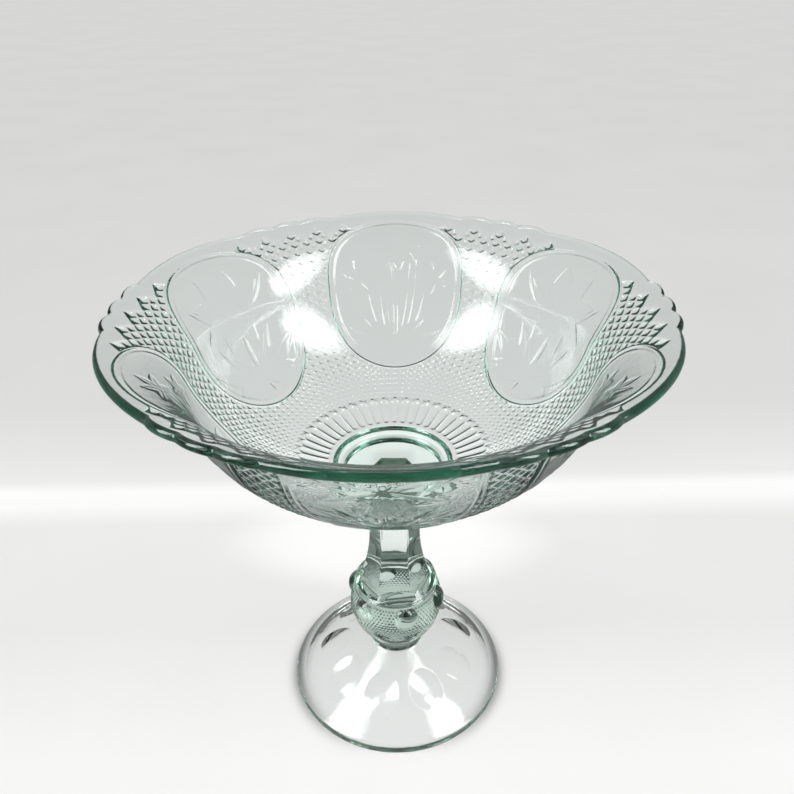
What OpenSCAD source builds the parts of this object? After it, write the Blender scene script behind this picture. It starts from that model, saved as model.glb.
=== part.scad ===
// Footed compote bowl in pressed, hot-joined glass.
// Six pieces stand on each other, flat face on flat face: foot, foot merese, knop, column,
// bowl merese and bowl. The origin is the middle of the surface that the foot stands on.

/* [Bowl] */
// Radius of the rim, over its broad lobes
rim_r = 120; // [112:1:135]
// Thickness of the wall
wall = 3.2; // [2.4:0.1:4.5]
// Width of the smooth flange outside the flare, seen from above
flange_w = 9.6; // [7:0.1:14]
// Slope of the flange, in degrees
flange_slope = 28; // [20:1:36]
// How much thicker the flange grows towards its edge
rim_swell = 0.8; // [0:0.1:1.5]
// Radius of the arc that turns the wall out into the flange
flare_arc_r = 45; // [35:1:55]
// Steepest slope of the wall, in degrees
wall_slope = 73; // [64:1:76]
// Radius of the tight arc of the wall
wall_arc_r = 61; // [50:1:70]
// Slope where the shallow floor meets the wall, in degrees
floor_slope = 37; // [32:1:42]
// Radius of the boss under the floor
boss_r = 28.8; // [25:0.1:34]
// Height of the boss below the floor's glass
boss_h = 3.4; // [2:0.1:6]
// Rounding of the boss's lower edge
boss_edge_r = 3; // [1:0.1:4]

/* [Rim lobes] */
// Depth of the notches between the lobes
notch_depth = 2; // [1:0.1:3]
// Width of a small lobe, in degrees
lobe_turn = 7.9; // [6:0.1:9]
// Number of small lobes in each gap between two medallions
gap_lobes = 3; // [1:2:5]

/* [Moulded relief] */
// Number of medallions round the bowl
medallions = 6; // [4:1:6]
// Height of the medallion plates above the wall
plate_relief = 1; // [0.4:0.1:1.6]
// Height of the toothed ground and of the flutes above the wall
field_relief = 0.6; // [0.3:0.1:1.2]
// Distance of the medallion's middle from the bowl's axis
plate_mid_r = 87.4; // [84:0.1:90]
// Half of the medallion's length, seen from above
plate_half = 26.3; // [22:0.1:28]
// Half of the medallion's width, in degrees round the bowl
plate_half_turn = 23.2; // [18:0.1:25]
// Distance of the tooth tips from the rim
tooth_inset = 6.5; // [5:0.1:9]
// Length of a tooth
tooth_len = 5.5; // [3:0.1:7]
// Number of flutes round the floor
flutes = 48; // [24:12:60]
// Outer radius of the flutes
flute_r = 43.8; // [40:0.1:50]
// Distance of the flutes from the boss
flute_inset = 0.6; // [0.3:0.1:3]

/* [Bowl merese] */
// Radius of the disc of glass between column and bowl
bowl_merese_r = 25; // [21:0.1:25.5]
// Thickness of that disc
bowl_merese_h = 6; // [2:0.1:8]

/* [Column] */
// Height of the six-sided column
column_h = 58; // [40:1:90]
// Distance across the flats of its shaft
shaft_flats = 22.4; // [16:0.1:25]
// Radius of the hollow arc that flares the shaft at its foot
column_flare_r = 90; // [60:1:110]
// Height of that flare
column_flare_h = 28; // [18:0.5:30]

/* [Knop] */
// Height of the knop
knop_h = 40; // [38:0.5:50]
// Largest radius of the knop's stippled band
knop_r = 24.1; // [22:0.1:28]
// Radius of the band's upright arc
knop_arc_r = 28; // [25:1:45]
// Height of the band above the knop's underside
band_h = 33; // [31:0.5:34]
// Height of the band's widest place above the knop's underside
band_mid_h = 21; // [17:0.5:22]
// Radius of the bead on top of the band
bead_r = 1; // [0.6:0.1:1.4]
// Number of cabochons and of thumbprints round the knop
knop_folds = 6; // [5:1:6]
// Turn of the cabochons against the column, in degrees
knop_turn = 15; // [0:1:30]
// Turn of the thumbprints against the column, in degrees
thumb_turn = 9; // [0:1:30]
// Radius of the ball that each cabochon is the cap of
cabochon_r = 7.2; // [5.5:0.1:8]
// Height of a cabochon above the band
cabochon_proud = 2.7; // [1:0.1:3.4]
// Height of the cabochons' middle above the knop's underside
cabochon_h = 26.5; // [23:0.5:27.5]
// Radius of the round bar that cuts each thumbprint in the shoulder
thumb_r = 3.4; // [3:0.1:4.2]
// Depth of a thumbprint
thumb_depth = 1.2; // [0.6:0.1:1.5]

/* [Foot merese] */
// Radius of the disc of glass between foot and knop
foot_merese_r = 14.2; // [13:0.1:17]
// Thickness of that disc
foot_merese_h = 2.5; // [1.5:0.1:5]

/* [Foot] */
// Radius of the foot
foot_r = 57.3; // [50:0.1:64]
// Height of the foot
foot_h = 31.2; // [28:0.1:40]
// Radius of the foot's neck
foot_neck_r = 13.6; // [12:0.1:15]
// Radius of the hollow arc below the neck
foot_neck_arc_r = 4; // [2:0.5:8]
// Rounding of the foot's outer edge
foot_edge_r = 3.2; // [2:0.1:4]
// Width of the ring that the foot stands on
foot_ring_w = 3; // [2:0.5:8]
// Height of the hollow under the foot
foot_hollow_h = 18; // [8:0.5:20]
// Number of petals pressed into the dome
petals = 9; // [8:1:12]
// Radius of the ball that each petal is the print of
petal_ball_r = 32; // [28:1:60]
// Depth of a petal
petal_depth = 1.9; // [0.6:0.1:2.2]
// Distance of a petal's middle from the axis
petal_mid_r = 34; // [32:0.5:38]
// Turn of the first petal, in degrees
petal_turn = 17.5; // [0:0.5:40]

/* [Hidden] */

// Overrun of every cut
cut = 1;
// Fineness of the round faces
$fn = 96;

// Heights at which the pieces stand on each other
foot_merese_z = foot_h;
knop_z = foot_merese_z + foot_merese_h;
column_z = knop_z + knop_h;
bowl_merese_z = column_z + column_h;
bowl_z = bowl_merese_z + bowl_merese_h;
floor_z = bowl_z + boss_h + wall;

// Plan widths of the bowl's arcs, and the floor's arc that is left between them
flare_run = flare_arc_r * (sin(wall_slope) - sin(flange_slope));
wall_run = wall_arc_r * (sin(wall_slope) - sin(floor_slope));
flange_r = rim_r - flange_w;
floor_run = flange_r - flare_run - wall_run;
floor_arc_r = floor_run / sin(floor_slope);
floor_rise = floor_arc_r * (1 - cos(floor_slope));
wall_rise = wall_arc_r * (cos(floor_slope) - cos(wall_slope));
flare_rise = flare_arc_r * (cos(flange_slope) - cos(wall_slope));
flange_z = floor_z + floor_rise + wall_rise + flare_rise;
rim_z = flange_z + flange_w * tan(flange_slope);
arc_steps = 9;

// Pattern round the bowl: each sector has one medallion, and a gap of small lobes and teeth
sector = 360 / medallions;
unit_turn = 360 / flutes;
gap_half_turn = gap_lobes * lobe_turn / 2;
broad_half_turn = sector / 2 - gap_half_turn;
gap_teeth = gap_lobes + 2;
plate_narrowing_share = 0.075;
small_lobe_share = 0.75;
rib_share = 0.62;

// Angles from one value to another in equal steps
function steps(from, to, count) = [for (i = [0 : count]) from + (to - from) * i / count];

// A place on the bowl's upright profile, a thickness t outside its inner face
function on_floor(t, slope) = [(floor_arc_r + t) * sin(slope),
    floor_z + floor_arc_r - (floor_arc_r + t) * cos(slope)];
function on_wall(t, slope) = [floor_run + wall_arc_r * (sin(slope) - sin(floor_slope)) + t * sin(slope),
    floor_z + floor_rise + wall_arc_r * (cos(floor_slope) - cos(slope)) - t * cos(slope)];
function on_flare(t, slope) = [flange_r - flare_arc_r * (sin(slope) - sin(flange_slope)) + t * sin(slope),
    flange_z - flare_arc_r * (cos(flange_slope) - cos(slope)) - t * cos(slope)];

// The whole profile at thickness t, from the axis out past the rim
function profile(t) = concat(
    [for (a = steps(0, floor_slope, arc_steps)) on_floor(t, a)],
    [for (a = steps(floor_slope, wall_slope, arc_steps)) if (a > floor_slope) on_wall(t, a)],
    [for (a = steps(wall_slope, flange_slope, arc_steps)) if (a < wall_slope) on_flare(t, a)],
    [on_flare(t * (1 + rim_swell / wall), flange_slope) + (flange_w + cut) * [1, tan(flange_slope)]]);

function reversed(list) = [for (i = [len(list) - 1 : -1 : 0]) list[i]];
function polar(r, a) = r * [cos(a), sin(a)];

// Glass between two thicknesses of the profile
module shell(inner, outer) {
    rotate_extrude() polygon(concat(profile(inner), reversed(profile(outer))));
}

// Outward bow of a lobe at a share of its half width from its middle
function bow(share) = notch_depth * (1 - share * share);

// Plan outline of the rim: broad lobes over the medallions and small ones over the gaps
broad_steps = 10;
lobe_steps = 6;
function rim_outline() = [for (s = [0 : medallions - 1]) each concat(
    [for (i = [0 : gap_lobes - 1]) each [for (k = [0 : lobe_steps - 1])
        polar(rim_r - notch_depth + small_lobe_share * bow(2 * k / lobe_steps - 1),
            s * sector - gap_half_turn + (i + k / lobe_steps) * lobe_turn)]],
    [for (k = [0 : broad_steps - 1])
        polar(rim_r - notch_depth + bow(2 * k / broad_steps - 1),
            s * sector + gap_half_turn + 2 * broad_half_turn * k / broad_steps)])];

// Plan outline of the toothed ground: tooth tips over the gaps, roots between them
tooth_tip_r = rim_r - tooth_inset;
tooth_root_r = tooth_tip_r - tooth_len;
function ground_outline() = [for (s = [0 : medallions - 1]) each
    [for (i = [0 : 2 * gap_teeth])
        polar(i % 2 == 1 ? tooth_tip_r : tooth_root_r,
            s * sector + (i - gap_teeth) * unit_turn / 2)]];

// Plan outline of one medallion, an egg that is a little narrower towards the rim
plate_steps = 28;
function plate_outline() = [for (i = [0 : plate_steps - 1]) let (a = 360 * i / plate_steps)
    polar(plate_mid_r + plate_half * sin(a),
        plate_half_turn * (1 - plate_narrowing_share * sin(a)) * cos(a))];

module plan_prism(outline) {
    translate([0, 0, bowl_z - cut]) linear_extrude(rim_z - bowl_z + 2 * cut) polygon(outline);
}

module plates() {
    for (s = [0 : medallions - 1]) rotate((s + 0.5) * sector) plan_prism(plate_outline());
}

// Raised ground of the bowl's outside, bare under the medallions and inside the flutes' ring
module ground() {
    difference() {
        intersection() {
            shell(wall / 2, wall + field_relief);
            plan_prism(ground_outline());
        }
        plates();
        translate([0, 0, bowl_z - cut]) cylinder(r = flute_r, h = rim_z - bowl_z);
    }
}

// Ribs that stand between the flutes
flute_in_r = boss_r + flute_inset;
rib_half_turn = rib_share * unit_turn / 2;
module ribs() {
    intersection() {
        shell(wall / 2, wall + field_relief);
        union() for (i = [0 : flutes - 1]) rotate(i * unit_turn) plan_prism([
            polar(flute_in_r, -rib_half_turn), polar(flute_r + cut, -rib_half_turn),
            polar(flute_r + cut, rib_half_turn), polar(flute_in_r, rib_half_turn)]);
    }
}

// Boss under the floor, with a rounded lower edge
boss_top_z = floor_z + floor_arc_r - sqrt(pow(floor_arc_r + wall / 2, 2) - pow(boss_r, 2));
module boss() {
    rotate_extrude() polygon(concat(
        [[0, bowl_z]],
        [for (a = steps(0, 90, 6)) [boss_r - boss_edge_r + boss_edge_r * sin(a),
            bowl_z + boss_edge_r * (1 - cos(a))]],
        [[boss_r, boss_top_z], [0, floor_z - wall / 2]]));
}

module bowl() color("#c7dad0") {
    intersection() {
        union() {
            shell(0, wall);
            intersection() {
                shell(wall / 2, wall + plate_relief);
                plates();
            }
            ground();
            ribs();
            boss();
        }
        plan_prism(rim_outline());
    }
}

module bowl_merese() color("#b4cdc0") {
    translate([0, 0, bowl_merese_z]) cylinder(r = bowl_merese_r, h = bowl_merese_h);
}

// Faces of the column, in pairs that one slab carries each
column_faces = 6;
face_turn = 360 / column_faces;

// Half width of the column at a height below the top of its flare
shaft_half = shaft_flats / 2;
function flare_half(drop) = shaft_half + column_flare_r - sqrt(pow(column_flare_r, 2) - pow(drop, 2));

module column_slab() {
    side = concat(
        [for (drop = steps(column_flare_h, 0, 8)) [flare_half(drop), column_flare_h - drop]],
        [[shaft_half, column_h]]);
    deep = 4 * flare_half(column_flare_h);
    rotate([90, 0, 0]) translate([0, 0, -deep / 2]) linear_extrude(deep)
        polygon(concat(side, reversed([for (p = side) [-p[0], p[1]]])));
}

// Three crossed slabs leave a six-sided column whose faces look at the medallions
module column() color("#bfd5c9") {
    translate([0, 0, column_z]) intersection() {
        rotate(sector / 2) column_slab();
        rotate(sector / 2 + face_turn) column_slab();
        rotate(sector / 2 + 2 * face_turn) column_slab();
    }
}

// Radius of the knop's band at a height above its underside
function band_at(h) = knop_r - knop_arc_r + sqrt(pow(knop_arc_r, 2) - pow(h - band_mid_h, 2));
shoulder_r = flare_half(column_flare_h);
shoulder_z = band_h + 2 * bead_r;
shoulder_rise = knop_h - shoulder_z;
flare_end_slope = column_flare_h / sqrt(pow(column_flare_r, 2) - pow(column_flare_h, 2));
band_top_r = band_at(band_h);

// The band with its bead, and a round shoulder out of which the column's six edges run
module knop_body() {
    rotate_extrude() polygon(concat(
        [[0, 0]],
        [for (h = steps(0, band_h, 12)) [band_at(h), h]],
        [[band_top_r, shoulder_z], [shoulder_r, knop_h], [0, knop_h]]));
    translate([0, 0, band_h + bead_r]) rotate_extrude() translate([band_top_r - bead_r / 2, 0])
        circle(r = bead_r, $fn = 24);
    rotate(sector / 2) translate([0, 0, shoulder_z]) cylinder(h = shoulder_rise,
        r1 = (shoulder_r + shoulder_rise * flare_end_slope) / cos(face_turn / 2),
        r2 = shoulder_r / cos(face_turn / 2), $fn = column_faces);
}

// Slope of the shoulder, and the middle of the place that a thumbprint is pressed into
shoulder_run = band_top_r - shoulder_r;
shoulder_angle = atan2(shoulder_rise, shoulder_run);
thumb_reach = thumb_r - thumb_depth;
thumb_mid = [(band_top_r + shoulder_r) / 2, 0, knop_h - shoulder_rise / 2];
thumb_off = thumb_reach * [sin(shoulder_angle), 0, cos(shoulder_angle)];

module knop() color("#a9c6b8") {
    translate([0, 0, knop_z]) rotate(sector / 2) difference() {
        union() {
            knop_body();
            for (i = [0 : knop_folds - 1]) rotate(knop_turn + 360 * i / knop_folds)
                translate([band_at(cabochon_h) + cabochon_proud - cabochon_r, 0, cabochon_h])
                    sphere(r = cabochon_r);
        }
        for (i = [0 : knop_folds - 1]) rotate(thumb_turn + 360 * i / knop_folds)
            translate(thumb_mid + thumb_off) rotate([90, 0, 0])
                cylinder(r = thumb_r, h = 2 * band_top_r, center = true);
    }
}

module foot_merese() color("#b4cdc0") {
    translate([0, 0, foot_merese_z]) cylinder(r = foot_merese_r, h = foot_merese_h);
}

// Profile of the foot: neck arc, sloping dome that touches both arcs, rounded edge, standing ring
neck_mid = [foot_neck_r + foot_neck_arc_r, foot_h];
edge_mid = [foot_r - foot_edge_r, foot_edge_r];
arcs_apart = neck_mid - edge_mid;
foot_slope = atan2(arcs_apart[1], -arcs_apart[0])
    - asin((foot_neck_arc_r + foot_edge_r) / norm(arcs_apart));
neck_end_r = foot_neck_r + foot_neck_arc_r * (1 - sin(foot_slope));
neck_end_z = foot_h - foot_neck_arc_r * cos(foot_slope);
ring_in_r = foot_r - foot_edge_r - foot_ring_w;
function dome_z(r) = neck_end_z - (r - neck_end_r) * tan(foot_slope);

module foot_body() {
    rotate_extrude() polygon(concat(
        [[0, 0]],
        [for (a = steps(-90, 90 - foot_slope, 9)) edge_mid + polar(foot_edge_r, a)],
        [for (a = steps(270 - foot_slope, 180, 8)) neck_mid + polar(foot_neck_arc_r, a)],
        [[0, foot_h]]));
}

hollow_ball_r = (pow(ring_in_r, 2) + pow(foot_hollow_h, 2)) / (2 * foot_hollow_h);
petal_reach = petal_ball_r - petal_depth;

module foot() color("#cfdfd7") {
    difference() {
        foot_body();
        translate([0, 0, foot_hollow_h - hollow_ball_r]) sphere(r = hollow_ball_r);
        for (i = [0 : petals - 1]) rotate(petal_turn + 360 * i / petals)
            translate([petal_mid_r + petal_reach * sin(foot_slope), 0,
                dome_z(petal_mid_r) + petal_reach * cos(foot_slope)]) sphere(r = petal_ball_r);
    }
}

bowl();
bowl_merese();
column();
knop();
foot_merese();
foot();
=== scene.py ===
import math

import bpy
import numpy as np
from mathutils import Matrix, Vector


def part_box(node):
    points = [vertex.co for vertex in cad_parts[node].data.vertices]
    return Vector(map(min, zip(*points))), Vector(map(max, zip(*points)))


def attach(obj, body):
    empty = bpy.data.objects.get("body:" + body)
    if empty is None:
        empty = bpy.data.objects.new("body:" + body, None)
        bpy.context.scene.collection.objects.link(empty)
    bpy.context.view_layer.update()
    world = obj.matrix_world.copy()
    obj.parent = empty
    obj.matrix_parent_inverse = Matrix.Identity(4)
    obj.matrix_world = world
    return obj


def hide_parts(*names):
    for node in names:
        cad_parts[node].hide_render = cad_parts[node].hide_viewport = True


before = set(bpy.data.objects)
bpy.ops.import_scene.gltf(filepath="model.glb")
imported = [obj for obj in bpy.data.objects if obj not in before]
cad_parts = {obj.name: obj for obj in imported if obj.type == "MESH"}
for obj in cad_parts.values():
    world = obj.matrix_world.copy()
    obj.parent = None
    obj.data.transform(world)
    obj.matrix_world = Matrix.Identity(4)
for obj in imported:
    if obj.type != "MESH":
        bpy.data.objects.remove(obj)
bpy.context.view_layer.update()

# Footed compote bowl in pale pressed glass. Lengths are in millimetres until a mesh is made.
MM = 0.001

# Heights of the six pieces, bottom and top, as the frame has them
NODES = ("bowl", "bowl_merese", "column", "knop", "foot_merese", "foot")
BOXES = {name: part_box(name) for name in NODES}
LOW = {name: box[0].z / MM for name, box in BOXES.items()}
HIGH = {name: box[1].z / MM for name, box in BOXES.items()}

# Bowl profile
RIM_R = 120.0
WALL = 3.2
FLANGE_W = 9.6
FLANGE_SLOPE = 28.0
RIM_SWELL = 0.8
RIM_SWELL_W = 10.6
FLARE_ARC_R = 45.0
WALL_SLOPE = 73.0
WALL_ARC_R = 61.0
FLOOR_SLOPE = 37.0
BOSS_R = 28.8
BOSS_H = 3.4
BOSS_EDGE_R = 3.0

# Rim lobes
NOTCH_DEPTH = 2.0
LOBE_TURN = 7.9
SMALL_LOBE_SHARE = 0.75
GAP_LOBES = 3

# Medallions, with a fine groove inside their border
MEDALLIONS = 6
SECTOR = 360 / MEDALLIONS
PLATE_RELIEF = 1.1
PLATE_MID_R = 87.4
PLATE_HALF = 26.3
PLATE_HALF_TURN = 23.2
PLATE_NARROWING = 0.075
LEAST_RISE = 0.25
BORDER_W = 0.8
GROOVE_DEPTH = 0.22
GROOVE_INSET = 3.0
GROOVE_W = 0.8

# Sprays in the medallions: how far inside the border they fade in, where along its length a blade
# is widest, how much of a petal's relief its vein takes away, and shares of a flower's radius
SPRAY_RELIEF = 0.31
SPRAY_SCALE = 1.6
SPRAY_FADE = (3.5, 6.0)
BLADE_SHAPE = 0.75
VEIN_HALF = 0.35
PETAL_VEIN = 0.35
PETAL_SHARE = 0.27
BUTTON_SHARE = 0.2

# Teeth and flutes. A tooth's edge is as steep along the wall as across it, within TOOTH_LEVEL
UNIT_TURN = 7.5
TOOTH_TIP_R = 113.5
TOOTH_LEN = 5.5
TOOTH_BAND_R = 107.0
TOOTH_EDGE_W = 1.3
TOOTH_SHARE, TOOTH_LEVEL = 0.8, 0.3
FLUTE_R = 43.8
FLUTE_IN_R = 29.4
FLUTE_START_W = 2.0
FLUTE_RELIEF = 0.5

# Diamonds of the ground: their pitch round the bowl, the shares of it that a row is high and that
# they are deep, and the half width and half length of their buttons as shares of a cell
FIELD = 0.55
CELL_TURN = 3.75
ROW_SHARE = 0.82
FIRST_ROW_R = 110.0
SMALLEST_ROW_R = 20.0
DIAMOND_DEPTH = 0.11
BUTTON_HALF = (0.3, 0.34)
SEAT_H = 0.35
SEAT_EDGE = 0.16
BUTTON_ROUND = 0.55
POINT_H = 0.8

# Share of their depth that the diamonds have near the floor, and the radii between which they grow
FLOOR_DEPTH_SHARE = 0.45
GROWING = (46, 78)

# Where the ground starts outside a medallion, in mm, and past a flute, in shares of its half width
PLATE_GAP = (0.1, 0.9)
FLUTE_GAP = (0.95, 1.8)

# Stem
BOWL_MERESE_R = 25.0
BOWL_MERESE_FLAT = 24.6
FOOT_MERESE_R = 14.2
SHAFT_FLATS = 22.4
COLUMN_FLARE_R = 90.0
COLUMN_FLARE_H = 28.0
COLUMN_EDGE_R = 0.9
KNOP_R = 24.1
KNOP_ARC_R = 28.0
BAND_H = 33.0
BAND_MID_H = 21.0
BEAD_R = 1.0
BEAD_FROM, BEAD_TO = -60, 75
KNOP_FOLDS = 6
KNOP_TURN = 15.0
THUMB_TURN = 9.0
CABOCHON_R = 7.2
CABOCHON_PROUD = 2.7
CABOCHON_H = 26.5
THUMB_R = 3.4
THUMB_DEPTH = 1.2
HARDLY_PRESSED = 0.02

# Bosses on the knop's band: pitch, height, and their least radius and height share with what
# chance adds to each. CHANCE turns a boss's numbers into an even spread from 0 to 1.
STIPPLE_PITCH = 1.9
STIPPLE_ROW = STIPPLE_PITCH * 0.87
STIPPLE_H = 0.36
STIPPLE_R, STIPPLE_MORE = 0.45, 0.22
STIPPLE_LOWEST = 0.6
CHANCE = (12.9898, 78.233, 43758.5453)
STIPPLE_FADE_IN = (15, 19)
STIPPLE_FADE_OUT = (BAND_H - 2, BAND_H - 1)

# Foot
FOOT_R = 57.3
FOOT_NECK_R = 13.6
FOOT_NECK_ARC_R = 4.0
FOOT_EDGE_R = 3.2
FOOT_RING_W = 3.0
FOOT_HOLLOW_H = 18.0
RING_CHAMFER = 0.4
PETALS = 9
PETAL_BALL_R = 32.0
PETAL_DEPTH = 1.9
PETAL_MID_R = 34.0
PETAL_TURN = 17.5

# Air left between two fused faces, which the joint's clear faces cross
JOINT_GAP = 0.01

# Steps of the meshes: round each piece, in each diamond, and along each part of a profile
ROUND_COUNT = 720
CELL_STEPS = 12
TABLE_STEPS = 4000
UNDER_STEPS = 5
BOSS_STEPS = 10
BOSS_END = -5
BOSS_JOIN = (0.35, 0.7, 0.9)
FLANGE_STEPS = 9
RIM_STEPS = 13
INNER_STEPS = 90
MERESE_STEPS = 15
FLARE_STEPS, SHAFT_STEPS = 25, 12
BAND_STEPS, BEAD_STEPS, SHOULDER_STEPS = 100, 12, 34
SHOULDER_START = 0.06
FOOT_EDGE_STEPS, FOOT_FACE_STEPS, NECK_STEPS, HOLLOW_STEPS = 24, 90, 40, 60

# The bowl's rows in mm: how far its wall runs into the boss, the step over the flutes, the room
# before the first diamond, how far fine rows go past flutes and teeth, and where the inner rows end
BOSS_OVERLAP = 1.0
FLUTE_STEP = 0.4
DIAMOND_START = 0.3
FINE_PAST = 0.6
INNER_END = 2.0

# Stands for nothing where a division needs a number
TINY = 1e-6


def sin(degrees):
    return np.sin(np.radians(degrees))


def cos(degrees):
    return np.cos(np.radians(degrees))


def ramp(x, low, high):
    """0 below low, 1 above high, and a smooth rise between them."""
    t = np.clip((x - low) / (high - low), 0, 1)
    return t * t * (3 - 2 * t)


def nearest_turn(turn, step, first=0.0):
    """Signed angle from the nearest of the directions first, first + step and so on."""
    return (turn - first + step / 2) % step - step / 2


def directions(count=ROUND_COUNT):
    """Angles in degrees of the count directions of a turned mesh."""
    return np.arange(count) * 360 / count


def line(start, end, shares):
    """Points at some shares of the way from start to end."""
    return [(start[0] + (end[0] - start[0]) * s, start[1] + (end[1] - start[1]) * s) for s in shares]


def arc(mid, radius, start, end, steps):
    """Points on an arc round mid, from one angle to another."""
    return [(mid[0] + radius * cos(a), mid[1] + radius * sin(a)) for a in np.linspace(start, end, steps)]


# Meshes

def add_object(name, data):
    """A new object in the scene."""
    made = bpy.data.objects.new(name, data)
    bpy.context.scene.collection.objects.link(made)
    return made


def turned_faces(rings, count):
    """The corners of a turned mesh's faces, one after another, and the number that each face has."""
    here = np.arange(count)
    after = (here + 1) % count
    last_ring = (rings - 1) * count
    first_fan = np.stack([np.full(count, rings * count), after, here], 1)
    last_fan = np.stack([last_ring + here, last_ring + after, np.full(count, rings * count + 1)], 1)
    starts = (np.arange(rings - 1) * count)[:, None]
    bands = np.stack([starts + here, starts + after, starts + count + after, starts + count + here], -1)
    corners = np.concatenate([first_fan.ravel(), bands.ravel(), last_fan.ravel()])
    return corners, np.repeat([3, 4, 3], [count, (rings - 1) * count, count])


def turned(name, rows, fused, count=ROUND_COUNT):
    """A closed mesh from rows of radii and heights round the axis, between two points on the axis.

    rows holds (radius, height), each a number or one value for each of the count directions.
    fused says if the faces round the first point, and those round the last one, are a joint.
    """
    angle = np.radians(directions(count))
    rings = rows[1:-1]
    places = np.empty((len(rings) * count + 2, 3))
    for i, (r, z) in enumerate(rings):
        ring = places[i * count:(i + 1) * count]
        ring[:, 0] = r * np.cos(angle)
        ring[:, 1] = r * np.sin(angle)
        ring[:, 2] = z
    places[-2] = (0, 0, rows[0][1])
    places[-1] = (0, 0, rows[-1][1])
    corners, sizes = turned_faces(len(rings), count)
    starts = np.concatenate([[0], np.cumsum(sizes)[:-1]])
    clear = np.zeros(len(sizes), np.float32)
    clear[:count] = fused[0]
    clear[-count:] = fused[1]

    mesh = bpy.data.meshes.new(name)
    mesh.vertices.add(len(places))
    mesh.vertices.foreach_set("co", (places * MM).ravel())
    mesh.loops.add(len(corners))
    mesh.loops.foreach_set("vertex_index", corners.astype(np.int32))
    mesh.polygons.add(len(sizes))
    mesh.polygons.foreach_set("loop_start", starts.astype(np.int32))
    mesh.update(calc_edges=True)
    mesh.polygons.foreach_set("use_smooth", np.ones(len(sizes), bool))
    mesh.attributes.new("joint", "FLOAT", "FACE").data.foreach_set("value", clear)
    return add_object(name, mesh)


def side_of(points, off):
    """Places and outward normals of a turned side, at angles off from a feature's own direction."""
    along = np.gradient(points, axis=0)
    along /= np.linalg.norm(along, axis=1)[:, None]
    r, z = points[:, 0][:, None], points[:, 1][:, None]
    out, up = along[:, 1][:, None], -along[:, 0][:, None]
    place = np.stack([r * cos(off), r * sin(off), z + 0 * off], -1)
    normal = np.stack([out * cos(off), out * sin(off), up + 0 * off], -1)
    return place, normal


def pressed(place, normal, mid, radius, way, axes=(1, 1, 1)):
    """How far each place inside a ball has to go along its normal to lie on the ball.

    It goes out with way 1 and in with way -1. With axes (1, 0, 1) the ball is a bar along Y.
    """
    off, slant = (place - mid) * axes, normal * axes
    a, b, c = (slant ** 2).sum(-1), (off * slant).sum(-1), (off ** 2).sum(-1) - radius ** 2
    return np.where(c < 0, (way * np.sqrt(np.maximum(b * b - a * c, 0)) - b) / a, 0)


# Bowl

FLANGE_R = RIM_R - FLANGE_W
FLOOR_RUN = (FLANGE_R - FLARE_ARC_R * (sin(WALL_SLOPE) - sin(FLANGE_SLOPE))
             - WALL_ARC_R * (sin(WALL_SLOPE) - sin(FLOOR_SLOPE)))
FLOOR_ARC_R = FLOOR_RUN / sin(FLOOR_SLOPE)
FLOOR_Z = LOW["bowl"] + BOSS_H + WALL
FLOOR_RISE = FLOOR_ARC_R * (1 - cos(FLOOR_SLOPE))
WALL_RISE = WALL_ARC_R * (cos(FLOOR_SLOPE) - cos(WALL_SLOPE))
FLARE_RISE = FLARE_ARC_R * (cos(FLANGE_SLOPE) - cos(WALL_SLOPE))
FLANGE_Z = FLOOR_Z + FLOOR_RISE + WALL_RISE + FLARE_RISE
FLOOR_LEN = FLOOR_ARC_R * math.radians(FLOOR_SLOPE)
WALL_END = FLOOR_LEN + WALL_ARC_R * math.radians(WALL_SLOPE - FLOOR_SLOPE)
FLARE_END = WALL_END + FLARE_ARC_R * math.radians(WALL_SLOPE - FLANGE_SLOPE)


def inner_face(u):
    """Radius, height and slope of the bowl's inner face at a length u along it from the axis."""
    u = np.asarray(u, float)
    slope = np.select(
        [u <= FLOOR_LEN, u <= WALL_END, u <= FLARE_END],
        [np.degrees(u / FLOOR_ARC_R), FLOOR_SLOPE + np.degrees((u - FLOOR_LEN) / WALL_ARC_R),
         WALL_SLOPE - np.degrees((u - WALL_END) / FLARE_ARC_R)], FLANGE_SLOPE)
    past = np.maximum(u - FLARE_END, 0)
    r = np.select(
        [u <= FLOOR_LEN, u <= WALL_END],
        [FLOOR_ARC_R * sin(slope), FLOOR_RUN + WALL_ARC_R * (sin(slope) - sin(FLOOR_SLOPE))],
        FLANGE_R - FLARE_ARC_R * (sin(slope) - sin(FLANGE_SLOPE)) + past * cos(FLANGE_SLOPE))
    z = np.select(
        [u <= FLOOR_LEN, u <= WALL_END],
        [FLOOR_Z + FLOOR_ARC_R * (1 - cos(slope)),
         FLOOR_Z + FLOOR_RISE + WALL_ARC_R * (cos(FLOOR_SLOPE) - cos(slope))],
        FLANGE_Z - FLARE_ARC_R * (cos(FLANGE_SLOPE) - cos(slope)) + past * sin(FLANGE_SLOPE))
    return r, z, slope


LENGTHS = np.linspace(0, FLARE_END + FLANGE_W / cos(FLANGE_SLOPE), TABLE_STEPS)
RADII = inner_face(LENGTHS)[0]


def length_at(r):
    """Length along the inner face where it reaches the radius r."""
    return np.interp(r, RADII, LENGTHS)


def row_table():
    """The diamonds' row number at each of LENGTHS: rows shrink with the radius, as the columns do."""
    pitch = ROW_SHARE * math.radians(CELL_TURN) * np.maximum(RADII, SMALLEST_ROW_R)
    number = np.concatenate([[0], np.cumsum(np.diff(LENGTHS) / pitch[1:])])
    return np.interp(FIRST_ROW_R, RADII, number) - number


ROW_NUMBERS = row_table()


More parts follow.
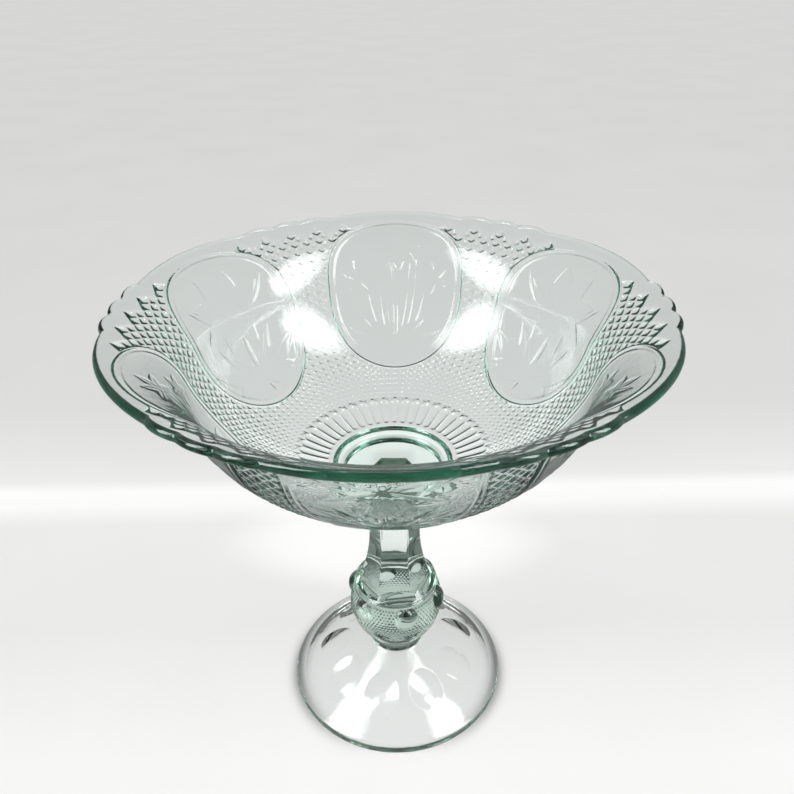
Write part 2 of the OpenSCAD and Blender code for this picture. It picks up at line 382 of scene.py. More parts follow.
def rim_radius(turn):
    """Plan radius of the rim: broad lobes over the medallions and small ones over the gaps."""
    broad = nearest_turn(turn, SECTOR, SECTOR / 2) / (SECTOR / 2 - GAP_LOBES * LOBE_TURN / 2)
    small = nearest_turn(nearest_turn(turn, SECTOR), LOBE_TURN) / (LOBE_TURN / 2)
    bow = np.where(np.abs(broad) < 1, 1 - broad ** 2, SMALL_LOBE_SHARE * (1 - small ** 2))
    return RIM_R - NOTCH_DEPTH * (1 - bow)


def plate_place(r, u, turn):
    """Place in the nearest medallion: along the rim, up the wall, and inside its border; its number."""
    off = nearest_turn(turn, SECTOR, SECTOR / 2)
    up = (r - PLATE_MID_R) / PLATE_HALF
    half_turn = PLATE_HALF_TURN * (1 - PLATE_NARROWING * np.clip(up, -1, 1))
    across = off / half_turn
    egg = np.maximum(np.hypot(across, up), TINY)
    half_width = np.radians(half_turn) * r
    rise = np.maximum(cos(inner_face(u)[2]), LEAST_RISE)
    steep = np.hypot(across / egg / half_width, up / egg * rise / PLATE_HALF)
    number = np.floor((turn % 360) / SECTOR).astype(int)
    return np.radians(off) * r, u - length_at(PLATE_MID_R), (1 - egg) / steep, number


def blade(x, y, base, heading, length, width, bend=0.0, vein=0.0):
    """A leaf or stalk in relief, 0 to 1: it starts at base and curves to one side by bend."""
    dx, dy = x - base[0], y - base[1]
    along = (dx * cos(heading) + dy * sin(heading)) / length
    side = -dx * sin(heading) + dy * cos(heading)
    inside = (along > 0) & (along < 1)
    share = np.clip(along, 0, 1)
    side = side - bend * share * share
    half = width * np.sin(np.pi * share ** BLADE_SHAPE) + TINY
    bulge = np.sqrt(np.clip(1 - (side / half) ** 2, 0, 1))
    return np.where(inside, bulge * (1 - vein * np.exp(-(side / VEIN_HALF) ** 2)), 0)


def blades(x, y, base, rows, vein=0.0):
    """Blades from one base, given as rows of heading, length, width and bend."""
    return np.maximum.reduce([blade(x, y, base, *row, vein) for row in rows])


def blossom(x, y, mid, radius, petals, turn):
    """An open flower in relief, with pointed petals round a button."""
    rows = [(turn + 360 * k / petals, radius, radius * PETAL_SHARE, 0) for k in range(petals)]
    off = np.hypot(x - mid[0], y - mid[1])
    button = np.sqrt(np.clip(1 - (off / (radius * BUTTON_SHARE)) ** 2, 0, 1))
    return np.maximum(blades(x, y, mid, rows, PETAL_VEIN), button)


def tall_spray(x, y):
    """A generic spray: a curved stalk, long grasses, leaves in pairs and three flowers."""
    stalk = blade(x, y, (0, -21), 92, 34, 0.8, -3)
    grasses = [(112, 33, 0.75, -6), (70, 31, 0.75, 6), (125, 24, 0.75, -5), (57, 25, 0.75, 5),
               (101, 37, 0.75, -2), (80, 36, 0.75, 4)]
    leaves = [(150, 15, 2.3, 3), (32, 16, 2.4, -3), (130, 12, 2.0, 2), (48, 13, 2.0, -2)]
    flowers = [((-1, 14), 7.5, 7, 12), ((-11.5, 5), 6.0, 6, 30), ((11, 6), 6.2, 6, 5)]
    return np.maximum.reduce([
        stalk, 0.8 * blades(x, y, (0, -21), grasses), blades(x, y, (0, -17), leaves, 0.4),
        *[blossom(x, y, *flower) for flower in flowers]])


def broad_spray(x, y):
    """A generic spray: one large open flower over broad pointed leaves."""
    stalk = blade(x, y, (0, -22), 90, 26, 0.9, 2)
    leaves = [(165, 17, 3.4, 4), (15, 17, 3.4, -4), (140, 22, 3.6, 3), (40, 22, 3.6, -3),
              (118, 20, 2.8, 2), (62, 20, 2.8, -2)]
    left = 0.8 * blade(x, y, (-4, 2), 150, 17, 0.8, -4)
    right = 0.8 * blade(x, y, (4, 2), 30, 17, 0.8, 4)
    return np.maximum.reduce([
        stalk, blades(x, y, (0, -19), leaves, 0.45), blossom(x, y, (0, 6), 15, 8, 22.5), left, right])


def plate_relief(x, y, depth, number):
    """Height of a medallion: a steep border, a fine groove inside it, and its spray."""
    groove = GROOVE_DEPTH * np.exp(-((depth - GROOVE_INSET) / GROOVE_W) ** 2)
    border = PLATE_RELIEF * ramp(depth, 0, BORDER_W) - groove
    x, y = x / SPRAY_SCALE, y / SPRAY_SCALE
    spray = np.where(number % 2 == 1, tall_spray(x, y), broad_spray(x, y))
    return border + SPRAY_RELIEF * spray * ramp(depth, *SPRAY_FADE)


def diamonds(turn, row):
    """Height, 0 to 1, of the cut ground: almond-shaped buttons in diamonds, and four-sided points."""
    p = turn / CELL_TURN
    x, y = np.abs(p - np.round(p)), np.abs(row - np.round(row))
    seat = SEAT_H * ramp(0.5 - x - y, 0, SEAT_EDGE)
    almond = 1 - x / BUTTON_HALF[0] - (y / BUTTON_HALF[1]) ** 2
    button = np.where(almond > 0, SEAT_H + (1 - SEAT_H) * ramp(almond, 0, BUTTON_ROUND), seat)
    point = POINT_H * np.clip(2 * (x + y) - 1, 0, 1)
    return np.where(x + y < 0.5, button, point)


def flute_place(r, turn):
    """Distance from the middle of the nearest flute, as a share of its half width or round end."""
    half = np.radians(UNIT_TURN / 2) * FLUTE_R
    across = nearest_turn(turn, UNIT_TURN) / (UNIT_TURN / 2)
    return np.hypot(across, np.maximum(r - (FLUTE_R - half), 0) / half)


def flute_relief(r, turn):
    """Height of the round-backed rays about the floor, each with a round outer end."""
    share = np.minimum(flute_place(r, turn), 1)
    return FLUTE_RELIEF * (1 - share ** 2) * ramp(r, FLUTE_IN_R, FLUTE_IN_R + FLUTE_START_W)


def ground_relief(r, u, turn, outside_plate):
    """Height of the toothed and diamond-cut ground between medallions, flutes and flange."""
    k = np.abs(nearest_turn(turn, SECTOR)) / UNIT_TURN
    saw = np.abs(k - np.round(k)) * 2
    edge = np.where(k < (GAP_LOBES + 2) / 2, TOOTH_TIP_R - TOOTH_LEN * saw, TOOTH_BAND_R)
    inside = (edge - r) * TOOTH_SHARE / np.maximum(cos(inner_face(u)[2]), TOOTH_LEVEL)
    grown = FLOOR_DEPTH_SHARE + (1 - FLOOR_DEPTH_SHARE) * ramp(r, *GROWING)
    deep = DIAMOND_DEPTH * math.radians(CELL_TURN) * r * grown
    height = FIELD + deep * diamonds(turn, np.interp(u, LENGTHS, ROW_NUMBERS))
    past_flutes = ramp(flute_place(r, turn), *FLUTE_GAP)
    return height * ramp(inside, 0, TOOTH_EDGE_W) * ramp(outside_plate, *PLATE_GAP) * past_flutes


def swell_at(r):
    """How much thicker the flange is than the wall at a radius."""
    return RIM_SWELL * np.clip((r - FLANGE_R) / RIM_SWELL_W, 0, 1)


def outer_face(u, turn):
    """Radius and height of the bowl's outer face, with its relief, across from u on the inner one."""
    r, z, slope = inner_face(u)
    x, y, depth, number = plate_place(r, u, turn)
    relief = np.where(depth > 0, plate_relief(x, y, depth, number), ground_relief(r, u, turn, -depth))
    thick = WALL + relief + flute_relief(r, turn) + swell_at(r)
    return r + thick * sin(slope), z - thick * cos(slope)


def boss_rows(join):
    """Rows of the bowl's underside: its flat face, the boss's round edge, and up to the wall."""
    low = LOW["bowl"] + JOINT_GAP / 2
    flat, mid_z = BOSS_R - BOSS_EDGE_R, low + BOSS_EDGE_R
    rows = [(0, low)]
    rows += [(r, low) for r in np.linspace(BOWL_MERESE_FLAT, flat, UNDER_STEPS)]
    rows += arc((flat, mid_z), BOSS_EDGE_R, -90, BOSS_END, BOSS_STEPS)[1:]
    return rows + line((BOSS_R, mid_z), join, BOSS_JOIN)


def fine_lengths(start, end):
    """Lengths of the rows over the flutes, and over the diamonds with whole steps in each."""
    flutes = np.arange(start, length_at(FLUTE_R + FINE_PAST), FLUTE_STEP)
    first = np.interp(flutes[-1] + DIAMOND_START, LENGTHS, ROW_NUMBERS) * CELL_STEPS
    last = np.interp(end, LENGTHS, ROW_NUMBERS) * CELL_STEPS
    steps = np.arange(math.floor(first), math.ceil(last) - 1, -1) / CELL_STEPS
    return np.concatenate([flutes, np.interp(-steps, -ROW_NUMBERS, LENGTHS)])


def make_bowl():
    count = int(360 / CELL_TURN) * CELL_STEPS
    turn = directions(count)
    half = (WALL + swell_at(RIM_R - WALL)) / 2
    rim_end = length_at(rim_radius(turn) - half * (1 + sin(FLANGE_SLOPE)))
    start, tooth_end = length_at(BOSS_R - BOSS_OVERLAP), length_at(TOOTH_TIP_R + FINE_PAST)
    flange = [tooth_end + s * (rim_end - tooth_end) for s in np.linspace(0, 1, FLANGE_STEPS)[1:]]
    rows = boss_rows(outer_face(start, turn))
    rows += [outer_face(u, turn) for u in fine_lengths(start, tooth_end)]
    rows += [outer_face(u, turn) for u in flange]
    r, z, slope = inner_face(rim_end)
    mid = (r + half * sin(slope), z - half * cos(slope))
    rows += arc(mid, half, slope - 90, slope + 90, RIM_STEPS)[1:]
    rows += [inner_face(u)[:2] for u in flange[-2::-1]]
    rows += [inner_face(u)[:2] for u in np.linspace(tooth_end, INNER_END, INNER_STEPS)]
    rows.append((0, inner_face(0)[1]))
    return turned("bowl_glass", rows, (True, False), count)


# Stem

def flare_half(drop):
    """Half width of the column across its flats, at a depth below the top of its flare."""
    drop = max(drop, 0)
    return SHAFT_FLATS / 2 + COLUMN_FLARE_R - math.sqrt(COLUMN_FLARE_R ** 2 - drop ** 2)


def hexagon(half, turn):
    """Radius of a six-sided outline with rounded corners, its faces turned to the medallions."""
    off = np.abs(nearest_turn(turn, SECTOR))
    centre = (half - COLUMN_EDGE_R) / cos(30)
    meet = np.degrees(np.arctan2(COLUMN_EDGE_R * sin(30), centre + COLUMN_EDGE_R * cos(30)))
    reach = np.sqrt(np.maximum(COLUMN_EDGE_R ** 2 - (centre * sin(off)) ** 2, 0))
    return np.where(off < meet, centre * cos(off) + reach, half / cos(30 - off))


def column_outline(z):
    """Radius of the column in each direction at a height."""
    return hexagon(flare_half(LOW["column"] + COLUMN_FLARE_H - z), directions())


def disc(node, radius, flat, below, above):
    """A merese: a disc with a round edge, fused to the outlines of what is below and above it."""
    low, high = LOW[node] + JOINT_GAP / 2, HIGH[node] - JOINT_GAP / 2
    mid, half = (low + high) / 2, (high - low) / 2
    rows = [(0, low), (below, low)]
    if np.max(below) < flat:
        rows += [(flat, low)]
    rows += [(flat + (radius - flat) * cos(a), mid + half * sin(a))
             for a in np.linspace(-90, 90, MERESE_STEPS)[1:-1]]
    rows += [(flat, high)]
    if np.max(above) < flat:
        rows += [(above, high)]
    rows += [(0, high)]
    return turned(node + "_glass", rows, (True, True))


def make_bowl_merese():
    below = column_outline(LOW["bowl_merese"])
    return disc("bowl_merese", BOWL_MERESE_R, BOWL_MERESE_FLAT, below, BOWL_MERESE_FLAT)


def make_foot_merese():
    return disc("foot_merese", FOOT_MERESE_R, FOOT_NECK_R, FOOT_NECK_R, FOOT_NECK_R)


def make_column():
    low, high = LOW["column"] + JOINT_GAP / 2, HIGH["column"] - JOINT_GAP / 2
    flare_top = LOW["column"] + COLUMN_FLARE_H
    rows = [(0, low), (column_outline(LOW["column"]), low)]
    heights = [*np.linspace(low, flare_top, FLARE_STEPS)[1:],
               *np.linspace(flare_top, high, SHAFT_STEPS)[1:]]
    rows += [(column_outline(z), z) for z in heights]
    rows += [(0, high)]
    return turned("column_glass", rows, (True, True))


def band_at(h):
    """Radius of the knop's band at a height above its underside."""
    return KNOP_R - KNOP_ARC_R + np.sqrt(KNOP_ARC_R ** 2 - (h - BAND_MID_H) ** 2)


KNOP_H = HIGH["knop"] - LOW["knop"]
BAND_TOP_R = float(band_at(BAND_H))
SHOULDER_H = BAND_H + 2 * BEAD_R
SHOULDER_R = flare_half(COLUMN_FLARE_H)
FLARE_END_SLOPE = COLUMN_FLARE_H / math.sqrt(COLUMN_FLARE_R ** 2 - COLUMN_FLARE_H ** 2)


def knop_profile():
    """Points of the knop's round side, from its underside to its top."""
    points = [(band_at(h), h) for h in np.linspace(0, BAND_H, BAND_STEPS)]
    bead = (BAND_TOP_R - BEAD_R / 2, BAND_H + BEAD_R)
    points += arc(bead, BEAD_R, BEAD_FROM, BEAD_TO, BEAD_STEPS)
    shares = np.linspace(SHOULDER_START, 1, SHOULDER_STEPS)
    return np.array(points + line((BAND_TOP_R, SHOULDER_H), (SHOULDER_R, KNOP_H), shares))


def thumb_bar():
    """Middle of the bar that presses a thumbprint into the shoulder, in the print's own direction."""
    rise = KNOP_H - SHOULDER_H
    tilt = math.degrees(math.atan2(rise, BAND_TOP_R - SHOULDER_R))
    out = THUMB_R - THUMB_DEPTH
    r = (BAND_TOP_R + SHOULDER_R) / 2 + out * sin(tilt)
    return np.array([r, 0, KNOP_H - rise / 2 + out * cos(tilt)])


def ridge_radius(height, turn, off, bar):
    """Radius of the ridges between thumbprints: the column's outline run on down as far as the bar."""
    uncut = np.sqrt(np.maximum(THUMB_R ** 2 - (height - bar[2]) ** 2, 0))
    bar_side = np.where(uncut > 0, (bar[0] - uncut) / cos(off), KNOP_R)
    return np.minimum(hexagon(SHOULDER_R + (KNOP_H - height) * FLARE_END_SLOPE, turn), bar_side)


def stipple_relief(turn, h):
    """Small bosses on the knop's band, in offset rows, a little uneven as pressed glass is."""
    line_number = np.round(h / STIPPLE_ROW)
    number = round(2 * math.pi * KNOP_R / STIPPLE_PITCH)
    p = turn / 360 * number + 0.5 * (line_number % 2)
    uneven = np.sin(np.round(p) % number * CHANCE[0] + line_number * CHANCE[1]) * CHANCE[2]
    uneven = uneven - np.floor(uneven)
    off = np.hypot((p - np.round(p)) * STIPPLE_PITCH, (h / STIPPLE_ROW - line_number) * STIPPLE_ROW)
    bump = np.sqrt(np.clip(1 - (off / (STIPPLE_R + STIPPLE_MORE * uneven)) ** 2, 0, 1))
    fade = ramp(h, *STIPPLE_FADE_IN) * (1 - ramp(h, *STIPPLE_FADE_OUT))
    return STIPPLE_H * bump * fade * (STIPPLE_LOWEST + (1 - STIPPLE_LOWEST) * uneven)


def make_knop():
    """The knop's side is pressed along its normals: out for cabochons, in for thumbprints."""
    turn = directions()
    points = knop_profile()
    place, normal = side_of(points, nearest_turn(turn, 360 / KNOP_FOLDS, SECTOR / 2 + KNOP_TURN))
    ball = (band_at(CABOCHON_H) + CABOCHON_PROUD - CABOCHON_R, 0, CABOCHON_H)
    cabochon = pressed(place, normal, ball, CABOCHON_R, 1)

    off = nearest_turn(turn, 360 / KNOP_FOLDS, SECTOR / 2 + THUMB_TURN)
    place, normal = side_of(points, off)
    bar = thumb_bar()
    thumb = pressed(place, normal, bar, THUMB_R, -1, (1, 0, 1))
    plain = (cabochon <= HARDLY_PRESSED) & (thumb > -HARDLY_PRESSED)
    stipple = np.where(plain, stipple_relief(turn, points[:, 1][:, None]), 0)
    place = place + normal * (cabochon + thumb + stipple)[..., None]

    radius, height = np.hypot(place[..., 0], place[..., 1]), place[..., 2]
    ridged = np.maximum(radius, ridge_radius(height, turn, off, bar))
    radius = np.where(height > SHOULDER_H, ridged, radius)
    low, high = LOW["knop"] + JOINT_GAP / 2, HIGH["knop"] - JOINT_GAP / 2
    rows = [(0, low), (FOOT_NECK_R, low), (radius[0], low)]
    rows += [(radius[i], LOW["knop"] + height[i]) for i in range(1, len(points) - 1)]
    rows += [(column_outline(LOW["column"]), high), (0, high)]
    return turned("knop_shaded_glass", rows, (True, True))


# Foot

NECK_MID = np.array([FOOT_NECK_R + FOOT_NECK_ARC_R, HIGH["foot"]])
EDGE_MID = np.array([FOOT_R - FOOT_EDGE_R, FOOT_EDGE_R])
ARCS_APART = NECK_MID - EDGE_MID
FOOT_SLOPE = math.degrees(math.atan2(ARCS_APART[1], -ARCS_APART[0])
                          - math.asin((FOOT_NECK_ARC_R + FOOT_EDGE_R) / np.hypot(*ARCS_APART)))


def foot_profile():
    """Points of the foot's outer face, from the standing ring's outer edge to the neck."""
    edge = arc(EDGE_MID, FOOT_EDGE_R, -90, 90 - FOOT_SLOPE, FOOT_EDGE_STEPS)
    neck = arc(NECK_MID, FOOT_NECK_ARC_R, 270 - FOOT_SLOPE, 180, NECK_STEPS)
    face = line(edge[-1], neck[0], np.linspace(0, 1, FOOT_FACE_STEPS)[1:])
    return np.array(edge + face + neck[1:])


def petal_ball():
    """Middle of the ball that presses a petal into the foot, in the petal's own direction."""
    neck_end = NECK_MID - FOOT_NECK_ARC_R * np.array([sin(FOOT_SLOPE), cos(FOOT_SLOPE)])
    dome = neck_end[1] - (PETAL_MID_R - neck_end[0]) * math.tan(math.radians(FOOT_SLOPE))
    out = PETAL_BALL_R - PETAL_DEPTH
    return np.array([PETAL_MID_R + out * sin(FOOT_SLOPE), 0, dome + out * cos(FOOT_SLOPE)])


def make_foot():
    points = foot_profile()
    place, normal = side_of(points, nearest_turn(directions(), 360 / PETALS, PETAL_TURN))
    place = place + normal * pressed(place, normal, petal_ball(), PETAL_BALL_R, -1)[..., None]
    radius = np.hypot(place[..., 0], place[..., 1])
    ring_in = FOOT_R - FOOT_EDGE_R - FOOT_RING_W
    hollow_r = (ring_in ** 2 + FOOT_HOLLOW_H ** 2) / (2 * FOOT_HOLLOW_H)
    hollow = np.degrees(np.arcsin(ring_in / hollow_r))
    high = HIGH["foot"] - JOINT_GAP / 2
    rows = arc((0, FOOT_HOLLOW_H - hollow_r), hollow_r, 90, 90 - hollow, HOLLOW_STEPS)
    rows += [(ring_in + RING_CHAMFER, 0.0)]
    rows += [(radius[i], place[i, :, 2]) for i in range(len(points) - 1)]
    rows += [(FOOT_NECK_R, high), (0, high)]
    return turned("foot_glass", rows, (False, True))


# Nodes of materials, lamps and world

def calculate(tree, operation, *values):
    """A Math node's output; each value is a number or another node's output."""
    node = tree.nodes.new("ShaderNodeMath")
    node.operation = operation
    for socket, value in zip(node.inputs, values):
        if isinstance(value, (int, float)):
            socket.default_value = value
        else:
            tree.links.new(value, socket)
    return node.outputs["Value"]


def product(tree, first, *others):
    """All the values multiplied together."""
    for other in others:
        first = calculate(tree, "MULTIPLY", first, other)
    return first


def squares(tree, x, y):
    """The sum of two values' squares."""
    return calculate(tree, "ADD", product(tree, x, x), product(tree, y, y))


def mapped(tree, value, low, high, at_low=0.0, at_high=1.0, way="SMOOTHSTEP"):
    """A value carried from the range low to high to the range at_low to at_high, and held there."""
    node = tree.nodes.new("ShaderNodeMapRange")
    node.interpolation_type = way
    for name, number in (("From Min", low), ("From Max", high), ("To Min", at_low), ("To Max", at_high)):
        node.inputs[name].default_value = number
    tree.links.new(value, node.inputs["Value"])
    return node.outputs["Result"]


def noise(tree, place, scale, detail):
    """Soft noise, about 0 to 1, over a place."""
    node = tree.nodes.new("ShaderNodeTexNoise")
    node.inputs["Scale"].default_value = scale
    node.inputs["Detail"].default_value = detail
    tree.links.new(place, node.inputs["Vector"])
    return node.outputs["Fac"]


def parts_of(tree, place):
    """The X, Y and Z of a place."""
    split = tree.nodes.new("ShaderNodeSeparateXYZ")
    tree.links.new(place, split.inputs["Vector"])
    return split.outputs["X"], split.outputs["Y"], split.outputs["Z"]


# Glass

# Tint and density of the glass, which colour light by its path in metres; the knop has its own greyer,
# denser copy, which darkens it as painted shade
BOWL_TINT, BOWL_DENSITY = (0.10, 0.74, 0.54, 1), 15.0
STEM_TINT, STEM_DENSITY = (0.30, 0.62, 0.47, 1), 8.0
KNOP_SHADE_TINT, KNOP_SHADE_DENSITY = (0.20, 0.45, 0.32, 1), 18.0
FACE_COLOR = (0.994, 1.0, 0.997, 1)
GLASS_IOR = 1.52

# Patches of duller polish, and the slight waves of pressed glass, in metres
POLISH_SCALE, POLISH_DETAIL = 60, 3
POLISH_RANGE = (0.35, 0.75)
ROUGHEST = 0.05
WAVE_SCALE, WAVE_DETAIL = 110, 2
WAVE_STRENGTH, WAVE_DEPTH = 0.2, 0.0006


def glass_material(name, tint, density):
    """Pale soda glass, green where it is thick; the fused faces of a joint are clear."""
    mat = bpy.data.materials.new(name)
    mat.use_nodes = True
    tree = mat.node_tree
    nodes, links = tree.nodes, tree.links
    surface = nodes["Principled BSDF"]
    surface.inputs["Base Color"].default_value = FACE_COLOR
    surface.inputs["Transmission Weight"].default_value = 1
    surface.inputs["IOR"].default_value = GLASS_IOR
    place = nodes.new("ShaderNodeTexCoord").outputs["Object"]
    polish = noise(tree, place, POLISH_SCALE, POLISH_DETAIL)
    links.new(mapped(tree, polish, *POLISH_RANGE, 0.0, ROUGHEST, "LINEAR"), surface.inputs["Roughness"])

    bump = nodes.new("ShaderNodeBump")
    bump.inputs["Strength"].default_value = WAVE_STRENGTH
    bump.inputs["Distance"].default_value = WAVE_DEPTH
    links.new(noise(tree, place, WAVE_SCALE, WAVE_DETAIL), bump.inputs["Height"])
    links.new(bump.outputs["Normal"], surface.inputs["Normal"])

    joint = nodes.new("ShaderNodeAttribute")
    joint.attribute_name = "joint"
    links.new(calculate(tree, "SUBTRACT", 1, joint.outputs["Fac"]), surface.inputs["Alpha"])

    inside = nodes.new("ShaderNodeVolumeAbsorption")
    inside.inputs["Color"].default_value = tint
    inside.inputs["Density"].default_value = density
    links.new(inside.outputs["Volume"], nodes["Material Output"].inputs["Volume"])
    return mat


# Stage

SHEET_HALF = 12.0
SHEET_Z = -0.0001
SHEET_ALBEDO = 0.08
SHEET_ROUGHNESS = 0.8
SHEET_SHINE = 0.1
# The sheet's own brightness along its depth: (Y in metres, linear grey); lamps add a little to it
SHEET_FROM, SHEET_TO = -0.10, 0.30
SHEET_BANDS = ((-0.06, 0.83), (0.03, 0.73), (0.125, 0.755), (0.147, 0.88), (0.163, 0.90), (0.177, 0.76),
               (0.215, 0.70), (0.28, 0.64))
SHEET_SKEW = 0.028
SHEET_BLUE = 0.993
# A soft bright oval behind the foot: its middle, half widths, fading shares and strength
GLEAM_MID = (-0.008, 0.105)
GLEAM_HALF = (0.105, 0.045)
GLEAM_FADE = (1.4, 0.2)
GLEAM = 0.2
CREASES, CREASE_SCALE, CREASE_DETAIL = 0.08, 7, 4
# Shade on the sheet along the left and right of the foot: middle and half width of its ring
SHADE_R, SHADE_HALF = 0.0555, 0.0045
SHADE_LEAST_R = 0.001
SHADE = 0.8
# Light of the room, of the wall behind the object, and how far back the room turns into the wall
ROOM_LIGHT = 0.13
WALL_LIGHT = 0.66
WALL_AT = 0.45
WALL_COLOR = (1.0, 1.0, 0.985, 1)
# Share of the far pale surroundings that is left after each mirroring inside the glass, the share
# of the sheet near the object that is left at least, and where the sheet counts as near and as far
MIRRORED = 0.25
NEAR_MIRRORED = 0.4
NEAR_R, FAR_R = 0.12, 0.2


def mirrored_share(tree):
    """1 for light that comes straight or through glass, less for each mirroring on its way."""
    path = tree.nodes.new("ShaderNodeLightPath")
    return calculate(tree, "POWER", MIRRORED, path.outputs["Glossy Depth"])


def seen_share(tree):
    """1 for what the camera sees, straight, mirrored or through glass; 0 for light on the object."""
    path = tree.nodes.new("ShaderNodeLightPath")
    through = calculate(tree, "MAXIMUM", path.outputs["Is Glossy Ray"], path.outputs["Is Transmission Ray"])
    return calculate(tree, "MAXIMUM", path.outputs["Is Camera Ray"], through)


def sheet_grey(tree, x, y):
    """The sheet's grey: near-white in front, a bright fold, and light grey behind."""
    level = calculate(tree, "SUBTRACT", y, product(tree, x, SHEET_SKEW))
    bands = tree.nodes.new("ShaderNodeValToRGB")
    stops = bands.color_ramp.elements
    for number, (at, grey) in enumerate(SHEET_BANDS):
        stop = stops[number] if number < 2 else stops.new(1.0)
        stop.position = (at - SHEET_FROM) / (SHEET_TO - SHEET_FROM)
        stop.color = (grey, grey, grey * SHEET_BLUE, 1)
    tree.links.new(mapped(tree, level, SHEET_FROM, SHEET_TO, way="LINEAR"), bands.inputs["Fac"])
    return bands.outputs["Color"]


def gleam(tree, x, y):
    """More light on the sheet in an oval behind the foot."""
    across = calculate(tree, "DIVIDE", calculate(tree, "SUBTRACT", x, GLEAM_MID[0]), GLEAM_HALF[0])
    along = calculate(tree, "DIVIDE", calculate(tree, "SUBTRACT", y, GLEAM_MID[1]), GLEAM_HALF[1])
    return mapped(tree, squares(tree, across, along), *GLEAM_FADE, 1.0, 1.0 + GLEAM)


def foot_shade(tree, x, distance):
    """Less light on the sheet in a ring at the foot, most to its left and right."""
    side = calculate(tree, "DIVIDE", x, calculate(tree, "ADD", distance, SHADE_LEAST_R))
    off = calculate(tree, "DIVIDE", calculate(tree, "SUBTRACT", distance, SHADE_R), SHADE_HALF)
    ring = calculate(tree, "EXPONENT", product(tree, off, off, -1.0))
    return calculate(tree, "SUBTRACT", 1, product(tree, side, side, ring, SHADE))


def creases(tree, place):
    """Soft uneven light, as on a sheet of cloth or paper."""
    fine = noise(tree, place, CREASE_SCALE, CREASE_DETAIL)
    return calculate(tree, "ADD", 1 - CREASES / 2, product(tree, fine, CREASES))


def sheet_strength(tree, place, x, y):
    """How strongly the sheet shows its grey, by place and by how its light reaches the camera."""
    distance = tree.nodes.new("ShaderNodeVectorMath")
    distance.operation = "LENGTH"
    tree.links.new(place, distance.inputs[0])
    distance = distance.outputs["Value"]
    near = mapped(tree, distance, FAR_R, NEAR_R, 0.0, NEAR_MIRRORED)
    shown = calculate(tree, "MAXIMUM", mirrored_share(tree), near)
    return product(tree, seen_share(tree), foot_shade(tree, x, distance), shown,
                   gleam(tree, x, y), creases(tree, place))


def make_floor():
    """A wide pale sheet, which has most of its brightness from itself and a little from the lamps."""
    mesh = bpy.data.meshes.new("floor")
    half, z = SHEET_HALF, SHEET_Z
    corners = [(-half, -half, z), (half, -half, z), (half, half, z), (-half, half, z)]
    mesh.from_pydata(corners, [], [(0, 1, 2, 3)])
    sheet = add_object("floor", mesh)
    mat = bpy.data.materials.new("pale_sheet")
    mat.use_nodes = True
    tree = mat.node_tree
    cloth = tree.nodes["Principled BSDF"]
    cloth.inputs["Roughness"].default_value = SHEET_ROUGHNESS
    cloth.inputs["Specular IOR Level"].default_value = SHEET_SHINE
    cloth.inputs["Base Color"].default_value = (SHEET_ALBEDO, SHEET_ALBEDO, SHEET_ALBEDO, 1)
    place = tree.nodes.new("ShaderNodeTexCoord").outputs["Object"]
    x, y, _ = parts_of(tree, place)
    tree.links.new(sheet_grey(tree, x, y), cloth.inputs["Emission Color"])
    tree.links.new(sheet_strength(tree, place, x, y), cloth.inputs["Emission Strength"])
    mesh.materials.append(mat)


def make_world():
    """A dim room with a pale wall behind the object; the camera itself sees the wall all round."""
    world = bpy.data.worlds.new("room")
    bpy.context.scene.world = world
    world.use_nodes = True
    tree = world.node_tree
    back = tree.nodes["Background"]
    _, y, _ = parts_of(tree, tree.nodes.new("ShaderNodeTexCoord").outputs["Generated"])
    behind = mapped(tree, y, 0.0, WALL_AT, ROOM_LIGHT, WALL_LIGHT)
    whole = tree.nodes.new("ShaderNodeMix")
    path = tree.nodes.new("ShaderNodeLightPath")
    tree.links.new(path.outputs["Is Camera Ray"], whole.inputs["Factor"])
    tree.links.new(product(tree, behind, mirrored_share(tree)), whole.inputs["A"])
    whole.inputs["B"].default_value = WALL_LIGHT
    tree.links.new(whole.outputs["Result"], back.inputs["Strength"])
    back.inputs["Color"].default_value = WALL_COLOR


# Lamps

# Height that the panels look at and their distance from there, in metres
PANEL_AIM_Z = 0.2
PANEL_AWAY = 0.9
# Where a panel's light fades, as the squared distance from its middle, and its streaks
PANEL_FADE = (0.25, 0.02)
STREAK_SCALE = 9
STREAK_LEAST = 0.5


def soften(tree):
    """Fades a panel's light from its middle to its edges, with faint upright streaks."""
    x, y, _ = parts_of(tree, tree.nodes.new("ShaderNodeNewGeometry").outputs["Parametric"])
    across = calculate(tree, "SUBTRACT", x, 0.5)
    up = calculate(tree, "SUBTRACT", y, 0.5)
    edge = mapped(tree, squares(tree, across, up), *PANEL_FADE)
    streaks = tree.nodes.new("ShaderNodeTexNoise")
    streaks.noise_dimensions = "1D"
    streaks.inputs["Scale"].default_value = STREAK_SCALE
    tree.links.new(x, streaks.inputs["W"])
    strength = product(tree, edge, calculate(tree, "ADD", streaks.outputs["Fac"], STREAK_LEAST))
    tree.links.new(strength, tree.nodes["Emission"].inputs["Strength"])


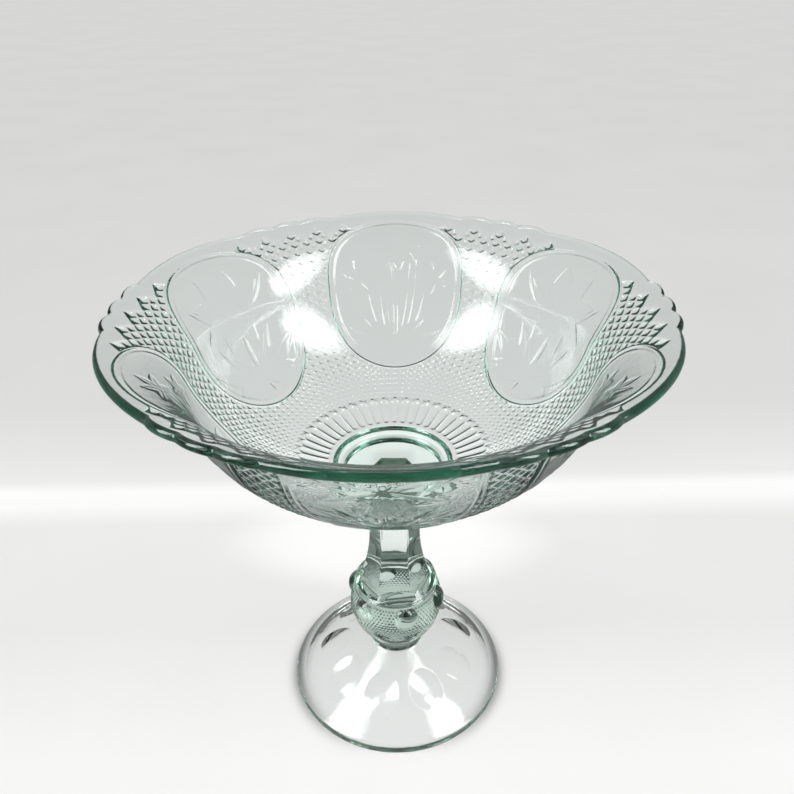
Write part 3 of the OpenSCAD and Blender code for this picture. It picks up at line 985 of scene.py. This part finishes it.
def make_panel(name, azimuth, elevation, width, height, radiance):
    """A soft light panel that looks at the bowl, its strength given as the brightness of its face."""
    data = bpy.data.lights.new(name, "AREA")
    data.shape = "RECTANGLE"
    data.size, data.size_y = width, height
    data.energy = radiance * math.pi * width * height
    data.use_nodes = True
    soften(data.node_tree)
    flat = cos(elevation)
    way = Vector((float(cos(azimuth) * flat), float(sin(azimuth) * flat), float(sin(elevation))))
    panel = add_object(name, data)
    panel.location = Vector((0, 0, PANEL_AIM_Z)) + way * PANEL_AWAY
    panel.rotation_euler = way.to_track_quat("Z", "Y").to_euler()


# Camera

CAMERA_PLACE = (0.01155, -0.29889, 0.3652)
CAMERA_TURN = 1.735
CAMERA_PITCH = 31.67
CAMERA_ROLL = -1.054
FOCAL_PIXELS = 774.6
PICTURE_PIXELS = 794
SENSOR_W = 36
CLIP_START = 0.01


def make_camera():
    data = bpy.data.cameras.new("camera")
    data.sensor_width = SENSOR_W
    data.lens = FOCAL_PIXELS / PICTURE_PIXELS * SENSOR_W
    data.clip_start = CLIP_START
    camera = add_object("camera", data)
    camera.matrix_world = (Matrix.Translation(CAMERA_PLACE)
                           @ Matrix.Rotation(math.radians(CAMERA_TURN), 4, "Z")
                           @ Matrix.Rotation(math.radians(90 - CAMERA_PITCH), 4, "X")
                           @ Matrix.Rotation(math.radians(CAMERA_ROLL), 4, "Z"))
    bpy.context.scene.camera = camera


# Scene

def make_pieces():
    """The six pieces of glass, each in the place of its CAD node."""
    bowl_glass = glass_material("bowl_glass", BOWL_TINT, BOWL_DENSITY)
    stem_glass = glass_material("stem_glass", STEM_TINT, STEM_DENSITY)
    # The knop's glass is a darker, greyer copy of the glass: painted shade on the knop
    knop_shaded_glass = glass_material("knop_shaded_glass", KNOP_SHADE_TINT, KNOP_SHADE_DENSITY)
    for node, make, glass in (
            ("bowl", make_bowl, bowl_glass), ("bowl_merese", make_bowl_merese, stem_glass),
            ("column", make_column, stem_glass), ("knop", make_knop, knop_shaded_glass),
            ("foot_merese", make_foot_merese, stem_glass), ("foot", make_foot, stem_glass)):
        piece = make()
        piece.data.materials.append(glass)
        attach(piece, "root")
        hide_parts(node)


make_camera()
make_pieces()
make_floor()
make_world()
make_panel("panel_right", -25, 38, 0.48, 1.15, 10.5)
make_panel("panel_left", -154, 38, 0.52, 1.15, 10.5)

# The view, and enough bounces for light to cross all the glass
scene = bpy.context.scene
scene.view_settings.view_transform = "Standard"
scene.cycles.use_denoising = True
scene.cycles.max_bounces = 24
scene.cycles.transmission_bounces = 24
scene.cycles.glossy_bounces = 16
scene.cycles.transparent_max_bounces = 32
